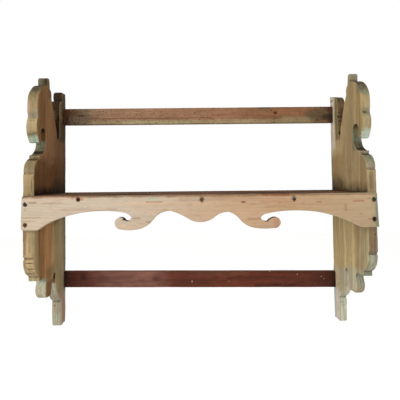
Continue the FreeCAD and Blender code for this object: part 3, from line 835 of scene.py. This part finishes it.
RIGHT_LOOK = {
    "side": 1,
    "seed": 1.7,
    "pith": (0.37, -0.09),
    "flakes": 0.2,
    "face_above": [
        (-152, TAN), (-110, HONEY), (-42, HONEY), (-26, STRAW), (0, CREAM)],
    "face_below": [
        (-152, PALE_PINE), (-128, NEW_PINE), (-104, HONEY), (-90, STRAW), (0, STRAW)],
    "face_stains": [
        # The next four rows darken the inner face near the shelf and towards the wall: dirt and a
        # painted contact shadow.
        (TAN, 0.85, 12, {Y: (-60, 20), Z: (-40, 88)}),
        (SOOT_AND_SHADE, 0.85, 7, {Z: (-40, 11)}),
        (GRIME_AND_SHADE, 0.6, 12, {Z: (-40, 22)}),
        (GRIME_AND_SHADE, 0.5, 12, {Y: (-60, 20), Z: (-40, 38)}),
        (BLUSH_WHITE, 0.75, 4, {Y: (-22, 10), Z: (100, 215)}),
        (DRAB, 0.75, 4, {Y: (-50, -24), Z: (118, 215)}),
        (DARK_MOSS, 0.6, 3, {Y: (-130, -100), Z: (88, 132)}),
        (DARK_MOSS, 0.6, 5, {Y: (-156, -122), Z: (196, 226)}),
        (DARK_PINE, 0.5, 8, {Y: (-156, -130), Z: (30, 84)}),
        (CHALK, 0.55, 8, {Y: (-160, -60), Z: (-290, -140)}),
        (CREAM, 0.7, 8, {Y: (-66, 8), Z: (-290, -160)}),
        (CHALK, 0.8, 4, {Y: (-92, -40), Z: (-206, -158)}),
        (BLUSH_WHITE, 0.85, 3, {Y: (-60, -9), Z: (-290, -206)}),
        (MINT_WHITE, 0.85, 2.5, {Y: (-9, 8), Z: (-290, -204)}),
        (STRAW, 0.6, 4, {Y: (-36, -22), Z: (-120, -60)}),
        (OCHRE, 0.5, 6, {Y: (-156, -130), Z: (120, 190)})],
    "edge": [
        (-275, CHALK), (-205, CHALK), (-192, TAUPE), (-146, COOL_SAGE), (-136, SAGE), (-104, SAGE),
        (-97, MAUVE), (48, DULL_PINE), (56, TAUPE), (70, MOSS), (88, DAMP), (104, WET_GREY),
        (109, MINT), (121, MINT), (130, NEW_PINE), (150, NEW_PINE), (158, MOSS), (170, NEW_PINE),
        (188, DULL_PINE), (198, DARK_MOSS), (212, DAMP), (224, DUSK), (232, TAUPE), (244, MOSS)],
    "edge_stains": [
        (WALNUT, 0.88, 5, {Y: (-50, 8), Z: (112, 216)}),
        (GRIME_AND_SHADE, 0.7, 6, {Y: (-50, 8), Z: (112, 138)}),
        (PEAT, 0.75, 4, {X: (306, 320), Y: (-50, 8), Z: (158, 186)}),
        (DAMP, 0.7, 5, {Y: (-50, 8), Z: (200, 216)}),
        (LICHEN, 0.75, 4, {Y: (-126, -98), Z: (90, 118)}),
        (OLIVE, 0.8, 4, {Y: (-126, -98), Z: (114, 146)}),
        (PEAT, 0.35, 2, {Y: (-126, -98), Z: (133, 142)}),
        # A thin dark line at the bottom of the cove: painted shade.
        (PEAT, 0.9, 1.2, {Y: (-126, -108), Z: (86.5, 94)}),
        (TAUPE, 0.85, 0.9, {Y: (-135, -120), Z: (80.8, 86)}),
        # A thin dark line under the knob: painted shade.
        (GRIME_AND_SHADE, 0.85, 0.8, {Y: (-138, -127), Z: (77.5, 80)}),
        (OCHRE, 0.8, 1.0, {X: (298, 303.4), Y: (-160, -128), Z: (122, 192)}),
        (OCHRE, 0.7, 0.8, {X: (298, 302), Y: (-50, 8), Z: (126, 160)}),
        (DRAB, 0.6, 3, {X: (304, 310), Z: (14, 46)}),
        (HONEY, 0.6, 2, {X: (312.5, 320), Z: (12, 48)}),
        (SAGE, 0.6, 2, {X: (314.5, 320), Z: (-101, -50)}),
        (LIMEWASH, 0.5, 4, {X: (311, 320), Z: (-290, -214)}),
        (PALE_PINK, 0.6, 4, {X: (308, 320), Z: (-192, -178)}),
        (LICHEN, 0.6, 2, {X: (298, 303.5), Z: (-150, -102)}),
        (CREAM, 0.6, 4, {Y: (-66, -22), Z: (-212, -150)})],
    "marks": [
        (GRIME_AND_SHADE, 0.8, (305, -136, 158), (4.5, 0, 1.3)),
        (SOOT_AND_SHADE, 0.9, (308.5, -136, 157.6), (2.2, 0, 2.2)),
        # The next three rows are thin dark lines under steps of the outline: painted shade.
        (GRIME_AND_SHADE, 0.7, (309, -146, 50.5), (8, 14, 1.0)),
        (GRIME_AND_SHADE, 0.6, (309, -134, 79), (8, 14, 0.9)),
        (GRIME_AND_SHADE, 0.6, (309, -150, -103), (7, 12, 1.2)),
        (GRIME_AND_SHADE, 0.6, (306, -24.5, -233), (6, 0, 1.1)),
        (GRIME_AND_SHADE, 0.5, (311, -24.5, -239), (5, 0, 0.9)),
        (GRIME_AND_SHADE, 0.8, (312.7, -152, -66.5), (1.5, 0, 1.8)),
        (SOOT_AND_SHADE, 0.85, (300, -62, -158.6), (0, 2.4, 3.2)),
        (GRIME_AND_SHADE, 0.8, (300, -22.9, -195), (0, 1.3, 7)),
        (SOOT_AND_SHADE, 0.6, (300, -6, 208), (0, 16, 3))],
}


def apron_wood():
    """Sanded pale pine, warmer to the right, with a red-brown band that sanding left on top."""
    wood = Timber("sanded_apron_wood", X, (-0.10, -0.075), 3.4 * MM, 3 * MM, 0.0)
    face = (wood.facing[Y] * -1).rise(0.3, 0.75)
    top = wood.facing[Z].rise(0.4, 0.8)
    arris, hollow = wood.attribute("arris"), wood.attribute("hollow")
    along = wood.at[X] + (wood.blotch - 0.5) * (120 * MM)
    wood.colour = wood.changing(along, [
        (-330, tone(206, 187, 163)), (-190, tone(216, 197, 173)), (-60, tone(208, 185, 159)),
        (50, tone(200, 168, 134)), (180, tone(193, 159, 122)), (330, tone(190, 166, 132))])
    wood.stain(tone(202, 166, 134), wood.plank.rise(0.48, 0.66) * 0.45)
    wood.stains([
        (NEW_PINE, 0.5, 8, {X: (300, 330), Z: (-60, 4)}),
        (OLD_PINK, 0.45, 4, {X: (-40, 150), Z: (-3, 4)}),
        (APRICOT, 0.55, 2.5, {X: (104, 162), Z: (-8, -4)}),
        (CARAMEL, 0.5, 2, {X: (112, 150), Z: (-15, -12)}),
        (CARAMEL, 0.6, 1.5, {X: (82, 106), Z: (-37, -33)}),
        (APRICOT, 0.55, 3, {X: (127, 137), Z: (-56, -33)}),
        (GINGER, 0.7, 1.5, {X: (268, 288), Z: (-7, -4)}),
        (CARAMEL, 0.6, 3, {X: (252, 257), Z: (-22, -10)}),
        (GINGER, 0.7, 1.5, {X: (202, 212), Z: (-7.5, -5)}),
        (tone(184, 192, 166), 0.7, 3, {X: (-95, -75), Z: (-2, 4)}),
        (CHALK, 0.3, 3, {X: (-24, -6), Z: (-3, 3)}),
        (GINGER, 0.7, 1.2, {X: (-98, -68), Z: (-5, -3)}),
        (BRONZE, 0.6, 2, {X: (-96, -86), Z: (-41, -37)}),
        (CARAMEL, 0.6, 1.5, {X: (-122, -108), Z: (-34, -31)}),
        (CARAMEL, 0.65, 1.0, {X: (-330, -283), Z: (-30, -28.5)}),
        (CARAMEL, 0.6, 1.0, {X: (-330, -292), Z: (-36, -34.5)}),
        (TEAK, 0.75, 1.0, {X: (-304, -290), Z: (-4, -2)}),
        (tone(176, 148, 122), 0.6, 1.2, {X: (-282, -244), Z: (-5, -3)}),
        (PALE_PINK, 0.5, 2, {X: (-250, -150), Z: (-18, -14)}),
        (tone(178, 112, 74), 0.55, 1.2, {X: (-229, -225), Z: (3, 7)}),
        (tone(196, 122, 74), 0.75, 2, {X: (-213, -208), Z: (0, 5)})], face)
    wood.stains([
        (HAZEL, 0.85, 2.4, {Z: (5, 20)}),
        (UMBER, 0.75, 1.6, {X: (-330, -150), Z: (7.5, 20)}),
        (COPPER, 0.75, 2, {X: (106, 156), Z: (5.5, 20)}),
        (tone(72, 66, 46), 0.85, 3, {X: (-330, -304), Z: (5.5, 20)}),
        (tone(124, 132, 112), 0.85, 1.5, {X: (307.5, 330), Z: (-60, 9)}),
        (tone(160, 160, 124), 0.6, 3, {X: (296, 330), Z: (-60, -49)})])
    wood.stain(PEAT, top * 0.85)
    wood.cloud((0.95, 1.04), (0.965, 1.03))
    wood.draw_grain(CARAMEL, wood.blotch.rise(0.45, 0.65) * 0.16 + 0.03, 0.045, 0.05, 0.4)
    wood.stain(tone(206, 202, 160), arris * wood.at[X].rise(170 * MM, 240 * MM) * 0.8)
    wood.stain(DUST, arris * wood.at[X].rise(-20 * MM, -120 * MM) * 0.3)
    # The apron's inner corners on its sawn edges are darkened: grime and painted shade.
    wood.stain(GRIME_AND_SHADE, hollow * (1 - face) * 0.6)
    wood.marks([
        (COPPER, 0.9, (74.6, -164, -5.3), (6.4, 0, 1.8)),
        (tone(84, 34, 18), 0.95, (74.6, -164, -5.3), (4.2, 0, 1.1)),
        (SOOT_AND_SHADE, 0.95, (-135, -164, -33.4), (5.4, 0, 2.8)),
        (GRIME_AND_SHADE, 0.8, (-310.9, -164, -15.6), (1.1, 0, 1.1)),
        (BRICK, 0.6, (-200, -164, -12), (1.2, 0, 1.4)),
        (BRICK, 0.6, (297, -164, -37), (5, 0, 1.4)),
        (BRICK, 0.5, (297, -164, -1), (5, 0, 1.3)),
        (FOX, 0.5, (282, -164, -28), (4, 0, 1.2))])
    return wood.finished(0.3 * MM, 0.3)


def shelf_wood():
    """Dark stained boards, near black in places along the front and at the ends, which is painted
    shade.
    """
    wood = Timber("stained_shelf_wood", X, (-0.05, -0.2), 3.6 * MM, 4 * MM, 0.8)
    wood.colour = wood.changing(wood.at[X] + (wood.blotch - 0.5) * (180 * MM), [
        (-310, tone(122, 88, 64)), (-60, tone(112, 80, 58)), (120, tone(121, 84, 60)),
        (310, tone(110, 79, 55))])
    # Dark patches on top: dirt, and painted shade in the near-black ones at the front left and
    # where the shelf meets the side boards.
    wood.marks([
        (SOOT_AND_SHADE, 0.8, (-132, -150, 9), (58, 52, 0)),
        (GRIME_AND_SHADE, 0.6, (110, -140, 9), (80, 60, 0)),
        (GRIME_AND_SHADE, 0.55, (-30, -16, 9), (150, 26, 0)),
        (GRIME_AND_SHADE, 0.5, (214, -60, 9), (60, 44, 0)),
        (SOOT_AND_SHADE, 0.75, (-310, -80, 9), (34, 140, 0)),
        (SOOT_AND_SHADE, 0.75, (310, -80, 9), (34, 140, 0))])
    wood.cloud((0.8, 1.15), (0.85, 1.12))
    wood.draw_grain(tone(40, 26, 18), 0.3, 0.1, 0.08, 0.4)
    wood.stain(HAZEL, wood.attribute("arris") * 0.4)
    return wood.finished(shine=0.02)


def high_rail_wood():
    """Pinkish softwood, dark at both ends with painted shade where it meets the side boards, with
    an olive strip along its lower edge.
    """
    wood = Timber("high_rail_wood", X, (0.03, 0.10), 3.2 * MM, 2.5 * MM, 0.5)
    wood.colour = wood.changing(wood.at[X] + (wood.blotch - 0.5) * (100 * MM), [
        (-310, tone(152, 125, 99)), (-215, tone(162, 126, 98)), (40, tone(168, 123, 92)),
        (150, tone(143, 102, 69)), (240, tone(144, 106, 72)), (310, tone(136, 104, 74))])
    wood.stains([
        (NEW_PINE, 0.7, 3, {X: (-280, 250), Z: (150, 168)}),
        (PALE_PINE, 0.6, 2.5, {X: (-170, -20), Z: (150, 167)}),
        (DULL_PINE, 0.6, 3, {X: (186, 262), Z: (150, 174)}),
        (BRICK, 0.6, 1.0, {X: (-262, 30), Z: (171.5, 173.5)}),
        (FOX, 0.5, 1.5, {X: (30, 160), Z: (176, 180)}),
        (GINGER, 0.6, 5, {X: (176, 262), Z: (177, 190)}),
        # The next three rows darken the rail towards its ends, where it meets the side boards:
        # painted shade.
        (DUST, 0.7, 7, {X: (-290, -240)}),
        (DARK_RED, 0.8, 4, {X: (-320, -288)}),
        (GRIME_AND_SHADE, 0.85, 5, {X: (290, 320)}),
        (DAMP, 0.7, 4, {X: (136, 160), Z: (190, 200)})])
    wood.cloud((0.9, 1.08), (0.88, 1.1))
    wood.draw_grain(GRAIN_BROWN, 0.16, 0.06, 0.07, 0.5)
    wood.specks(PEAT, 0.85, 150, 0.22)
    wood.specks(UMBER, 0.6, 260, 0.26)
    ends = wood.at[X].rise(216 * MM, 286 * MM) + wood.at[X].rise(-236 * MM, -284 * MM)
    wood.specks(SOOT_AND_SHADE, ends * 0.75, 210, 0.4)
    wood.stain(UMBER, wood.attribute("arris") * 0.6)
    wood.marks([
        (CINNAMON, 0.7, (-288, -14, 186), (30, 0, 12)),
        (DARK_RED, 0.7, (-262, -14, 179), (12, 0, 3)),
        (DAMP, 0.6, (264, -14, 178), (36, 0, 16)),
        (UMBER, 0.75, (298, -14, 190), (30, 0, 9)),
        (GRIME_AND_SHADE, 0.7, (290, -14, 172), (22, 0, 10)),
        (RUST, 0.85, (171.8, -14, 181.8), (6.4, 0, 4.4)),
        (BARK, 0.95, (171.8, -14, 181.8), (3.8, 0, 2.6)),
        (PEAT, 0.85, (162.4, -14, 188.4), (3.2, 0, 1.8)),
        (RUST, 0.6, (170, -14, 171), (2, 0, 8)),
        (DARK_RED, 0.8, (168, -14, 161.5), (3, 0, 1.6)),
        (PALE_PINE, 0.8, (28, -14, 163), (4, 0, 1.2))])
    return wood.finished(shine=0.2)


def low_rail_wood():
    """Dark red wood, near black with painted shade where it meets the side boards, with a few pale
    flecks.
    """
    wood = Timber("low_rail_wood", X, (0.0, -0.30), 2.4 * MM, 3 * MM, 0.2)
    # The colour darkens towards both ends, where the rail meets the side boards: painted shade.
    wood.colour = wood.changing(wood.at[X] + (wood.blotch - 0.5) * (60 * MM), [
        (-310, tone(88, 40, 28)), (-250, tone(112, 62, 50)), (-200, tone(140, 94, 80)),
        (-95, tone(140, 93, 79)), (-62, tone(108, 54, 37)), (120, tone(108, 51, 32)),
        (250, tone(102, 50, 36)), (310, tone(72, 33, 24))])
    wood.stains([
        # Near black at both ends: painted shade where the rail meets the side boards.
        (SOOT_AND_SHADE, 0.85, 5, {X: (-320, -292)}),
        (SOOT_AND_SHADE, 0.8, 6, {X: (292, 320)}),
        (BARK, 0.7, 7, {X: (-262, -250), Z: (-186, -170)}),
        (DARK_RED, 0.6, 7, {X: (-106, -88), Z: (-192, -176)}),
        (DARK_RED, 0.6, 3, {X: (60, 190), Z: (-186, -180)}),
        (BARK, 0.6, 3, {X: (120, 210), Z: (-204, -198)}),
        (tone(136, 92, 76), 0.5, 4, {X: (-220, -110), Z: (-206, -198)}),
        (TEAK, 0.4, 5, {X: (-20, 110), Z: (-178, -166)})])
    wood.cloud((0.82, 1.14), (0.84, 1.14))
    wood.draw_grain(BARK, 0.3, 0.1, 0.1, 0.4)
    wood.stain(FOX, wood.attribute("arris") * 0.3)
    wood.specks(PALE_PINK, 0.7, 62, 0.055)
    fleck = tone(204, 180, 158)
    wood.marks([
        (fleck, 0.85, (-17.5, -10, -190), (1.3, 0, 3.4)),
        (fleck, 0.35, (64.5, -10, -190), (1.6, 0, 1.4)),
        (fleck, 0.6, (154.7, -10, -170), (1.8, 0, 1.2)),
        (fleck, 0.75, (215.2, -10, -176.5), (1.6, 0, 1.8)),
        (fleck, 0.8, (268.4, -10, -182), (2.0, 0, 1.4)),
        (fleck, 0.7, (274.1, -10, -187), (1.4, 0, 1.4))])
    return wood.finished(shine=0.25)


def screw_steel(name, head, rust, gleam):
    """A countersunk screw's weathered steel: its own tone, rust in patches, a gleam where worn."""
    steel = Finish(name)
    crust = steel.noise(700, 4.0, 0.65)
    polish = steel.noise(260, 1.0)
    steel.colour = steel.blend(crust.rise(0.45, 0.65) * rust, head, RUST)
    steel.stain(BLUSH_WHITE, polish.rise(0.52, 0.66) * gleam)
    steel.shade(crust, 0.7, 1.15)
    return steel.surface(0.8 - polish * 0.25, crust, 0.12 * MM, metallic=0.15, specular=0.2)


def hanger_steel():
    """Zinc-plated steel, dulled and spotted."""
    steel = Finish("hanger_steel")
    spangle = steel.cells(420)
    spots = steel.noise(240, 4.0, 0.65)
    steel.colour = steel.blend(spangle, tone(138, 137, 131), tone(112, 111, 106))
    steel.stain(DRAB, spots.rise(0.58, 0.7) * 0.8)
    return steel.surface(0.5 + spots * 0.3, spots, 0.06 * MM, metallic=0.4, specular=0.3)


# ---------------------------------------------------------------- the rack

SIDE_ARRIS = 1.8 * MM
INNER_RIGHT_ARRIS = 2.2 * MM
APRON_ARRIS = 1.3 * MM
BAR_ARRIS = 1.0 * MM


def dressed(piece, node, material):
    """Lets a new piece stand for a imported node, with its material."""
    piece.data.materials.clear()
    piece.data.materials.append(material)
    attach(piece, "root")
    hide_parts(node)


def outer_screws(side):
    """The screws that are driven through a side board into the shelf's and rails' ends."""
    starts = ("shelf_screw_" + side, "rail_screw_top_" + side, "rail_screw_bottom_" + side)
    return [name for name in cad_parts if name.startswith(starts)]


# Where a board's thin ends have worn rounder than the rest, in millimetres: the (Y, Z) of the
# place, how far the wear reaches, and how much it adds to the arris's radius.
LEFT_WEAR = [
    ((-90.5, 241), 8, 3.4), ((-10, 232), 12, 2.8), ((-129, 106), 8, 1.4),
    ((-88, -194), 15, 2.4), ((-12, -278), 16, 2.6)]
RIGHT_WEAR = [
    ((-90.5, 244), 8, 3.0), ((-28, 212), 9, 2.0), ((-129, 109), 7, 1.2),
    ((-104, -149), 9, 2.0), ((-86, -191), 16, 3.4), ((-12, -275), 16, 3.2)]


def side_board(side, node, arris, seed, wear, sign, nails):
    """A side board without its material. Its screws are driven along X, towards sign."""
    board = worn_board(side + "_scrolled_board", node, X, arris, seed, wear)
    seats = [screw_seat(name, X, sign) for name in outer_screws(side)]
    cut(board, seats + hanger_cutters(side + "_hanger_plate"))
    cut(board, [nail_hole(*nail) for nail in nails])
    return board


left = side_board("left", "left_side_board", (SIDE_ARRIS, SIDE_ARRIS), 11, LEFT_WEAR, 1,
                  [((-314.9, -25, -233.6), (0, 1, 0))])
dressed(left, "left_side_board", side_board_wood("left_board_wood", LEFT_LOOK))

right = side_board("right", "right_side_board", (INNER_RIGHT_ARRIS, SIDE_ARRIS), 23, RIGHT_WEAR, -1,
                   [((308.5, -135.5, 157.6), (0, 1, 0)), ((300, -62, -158.6), (1, 0, 0))])
dressed(right, "right_side_board", side_board_wood("right_board_wood", RIGHT_LOOK))

apron = worn_board("scrolled_apron", "front_apron", Y, (APRON_ARRIS, APRON_ARRIS), 37)
apron_screws = [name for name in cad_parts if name.startswith("apron_screw")]
cut(apron, [screw_seat(name, Y, 1) for name in apron_screws])
dressed(apron, "front_apron", apron_wood())

shelf = planed_bar("plain_shelf", "shelf_board", BAR_ARRIS, 41)
dressed(shelf, "shelf_board", shelf_wood())
rail_notch = [(-1.5 * MM, 2, 1.6 * MM, 1.6 * MM)]
high_rail = planed_bar("high_plate_rail", "top_back_rail", BAR_ARRIS, 53, rail_notch)
dressed(high_rail, "top_back_rail", high_rail_wood())
low_rail = planed_bar("low_plate_rail", "bottom_back_rail", BAR_ARRIS, 67)
dressed(low_rail, "bottom_back_rail", low_rail_wood())

# Each seen screw has weathered in its own way: its tone, how rusty it is, how much it gleams.
SCREW_LOOKS = {
    "apron_screw_left_upper": (tone(58, 60, 50), 0.1, 0.8),
    "apron_screw_left_lower": (tone(100, 66, 40), 0.6, 0.05),
    "apron_screw_shelf_left": (tone(62, 24, 14), 0.8, 0.0),
    "apron_screw_shelf_middle": (tone(104, 80, 56), 0.3, 0.15),
    "apron_screw_shelf_right": (tone(62, 40, 26), 0.4, 0.35),
    "apron_screw_right_upper": (tone(52, 50, 34), 0.2, 0.05),
    "apron_screw_right_lower": (tone(44, 18, 10), 0.7, 0.0),
}
hidden_screw = screw_steel("hidden_screw_steel", tone(112, 104, 92), 0.4, 0.4)
plate_look = hanger_steel()
for name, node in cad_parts.items():
    if "screw" in name or "plate" in name:
        node.data.materials.clear()
        if name in SCREW_LOOKS:
            look = screw_steel(name + "_steel", *SCREW_LOOKS[name])
        else:
            look = plate_look if "plate" in name else hidden_screw
        node.data.materials.append(look)


# ---------------------------------------------------------------- light, floor and camera

WHITE = (1, 1, 1, 1)
FLOOR_HEIGHT = -0.75
FLOOR_SIZE = 8.0
FLOOR_TONE = (0.85, 0.85, 0.84, 1)
FLOOR_GLOW = 0.56              # makes the lit floor white to the camera
WORLD_LIGHT = 0.49
RACK_MIDDLE = Vector((0, -0.05, 0))


def pale_floor():
    """A plain pale floor, white to the camera except where a shadow falls on it."""
    half = FLOOR_SIZE / 2
    corners = [(-half, -half), (half, -half), (half, half), (-half, half)]
    mesh = bpy.data.meshes.new("floor")
    mesh.from_pydata([(x, y, FLOOR_HEIGHT) for x, y in corners], [], [(0, 1, 2, 3)])
    floor = bpy.data.objects.new("floor", mesh)
    bpy.context.scene.collection.objects.link(floor)
    paint = bpy.data.materials.new("floor_paint")
    nodes = Shading(paint)
    glow = nodes.add("Emission", (WHITE, nodes.seen_direct() * FLOOR_GLOW))
    matt = nodes.add("BsdfDiffuse", (FLOOR_TONE,))
    nodes.add("OutputMaterial", (nodes.add("AddShader", (glow, matt)),))
    mesh.materials.append(paint)


def white_surroundings():
    """Even light from all round, plain white where the camera or a gloss looks past the rack."""
    world = bpy.data.worlds.new("surroundings")
    bpy.context.scene.world = world
    nodes = Shading(world)
    level = nodes.add("MapRange", {0: nodes.seen_direct(), 3: WORLD_LIGHT, 4: 1.0})
    nodes.add("OutputWorld", (nodes.add("Background", (WHITE, level)),))


def soft_lamp(name, place, size, power):
    """A square studio lamp that faces the rack's middle."""
    lamp = bpy.data.lights.new(name, "AREA")
    lamp.size = size
    lamp.energy = power
    piece = bpy.data.objects.new(name, lamp)
    bpy.context.scene.collection.objects.link(piece)
    piece.location = place
    piece.rotation_euler = (RACK_MIDDLE - Vector(place)).to_track_quat("-Z", "Y").to_euler()


PHOTO_SIDE = 400               # picture points along each side
FOCAL_LENGTH = 333.6           # in picture points
AXIS_POINT = (191.9, 170.0)    # where the lens axis meets the picture
CAMERA_PLACE = (-18.4 * MM, -753.5 * MM, 35.5 * MM)
CAMERA_TURN, CAMERA_DIP, CAMERA_ROLL = (math.radians(angle) for angle in (-0.226, -1.608, -0.575))
SENSOR_WIDTH = 36.0


def photo_camera():
    """The camera that took the picture: nearly square to the wall, just above the shelf."""
    lens = bpy.data.cameras.new("camera")
    lens.sensor_width = SENSOR_WIDTH
    lens.lens = FOCAL_LENGTH / PHOTO_SIDE * SENSOR_WIDTH
    lens.shift_x = (PHOTO_SIDE / 2 - AXIS_POINT[0]) / PHOTO_SIDE
    lens.shift_y = (AXIS_POINT[1] - PHOTO_SIDE / 2) / PHOTO_SIDE
    lens.clip_start = 0.01
    camera = bpy.data.objects.new("camera", lens)
    bpy.context.scene.collection.objects.link(camera)
    camera.matrix_world = (Matrix.Translation(CAMERA_PLACE)
                           @ Matrix.Rotation(CAMERA_TURN, 4, "Z")
                           @ Matrix.Rotation(math.pi / 2 - CAMERA_DIP, 4, "X")
                           @ Matrix.Rotation(CAMERA_ROLL, 4, "Z"))
    bpy.context.scene.camera = camera


bpy.context.scene.view_settings.view_transform = "Standard"
white_surroundings()
soft_lamp("key_lamp", (-1.35, -1.75, 0.75), size=1.6, power=24)
soft_lamp("fill_lamp", (1.4, -1.7, 0.3), size=1.2, power=8)
pale_floor()
photo_camera()
